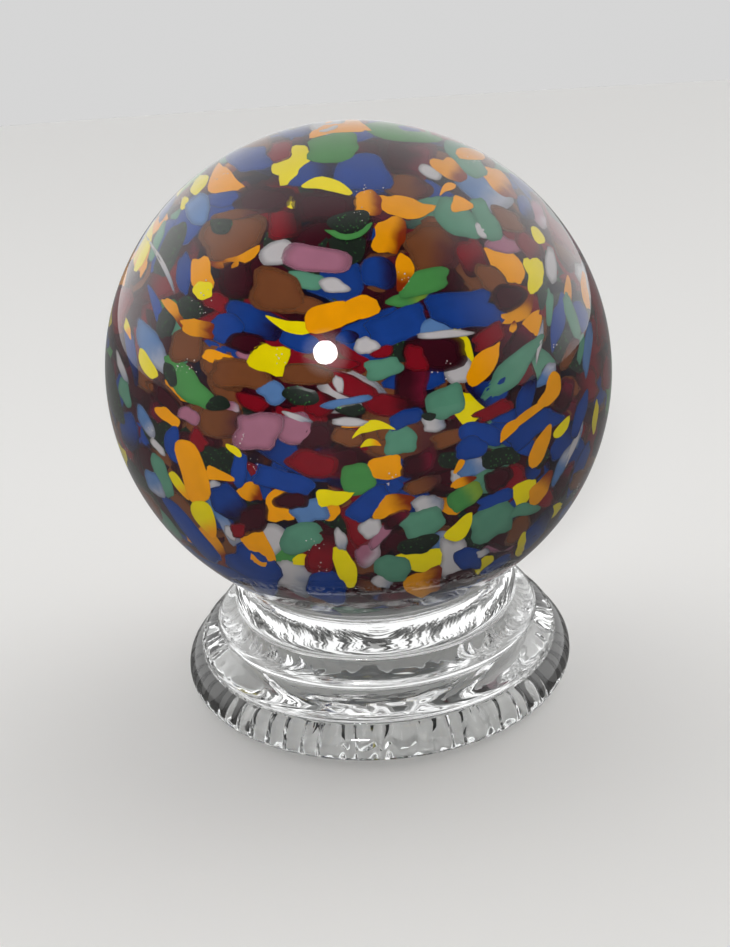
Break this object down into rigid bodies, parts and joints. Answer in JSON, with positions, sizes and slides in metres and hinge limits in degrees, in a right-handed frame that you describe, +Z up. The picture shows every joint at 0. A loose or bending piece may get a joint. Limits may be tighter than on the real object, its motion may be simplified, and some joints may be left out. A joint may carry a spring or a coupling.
{
  "type": "glass marble on stand",
  "caption": "Large ball of cased glass filled with coloured chips, resting in the cup of a stepped clear pressed-glass stand.",
  "frame": {"origin": "centre of the stand's round foot, in the plane it stands on", "axes": "+Z up along the stand's axis, -Y towards the side shown in the picture, +X to its right"},
  "size_m": [0.1267, 0.127, 0.1443],
  "materials": {
    "cased_frit_glass": "polished clear glass casing over a dark core covered in opaque and translucent coloured glass chips",
    "clear_glass": "fire-polished clear pressed glass"
  },
  "bodies": {
    "root": {"marble": "cased_frit_glass", "stand": "clear_glass"}
  },
  "joints": []
}
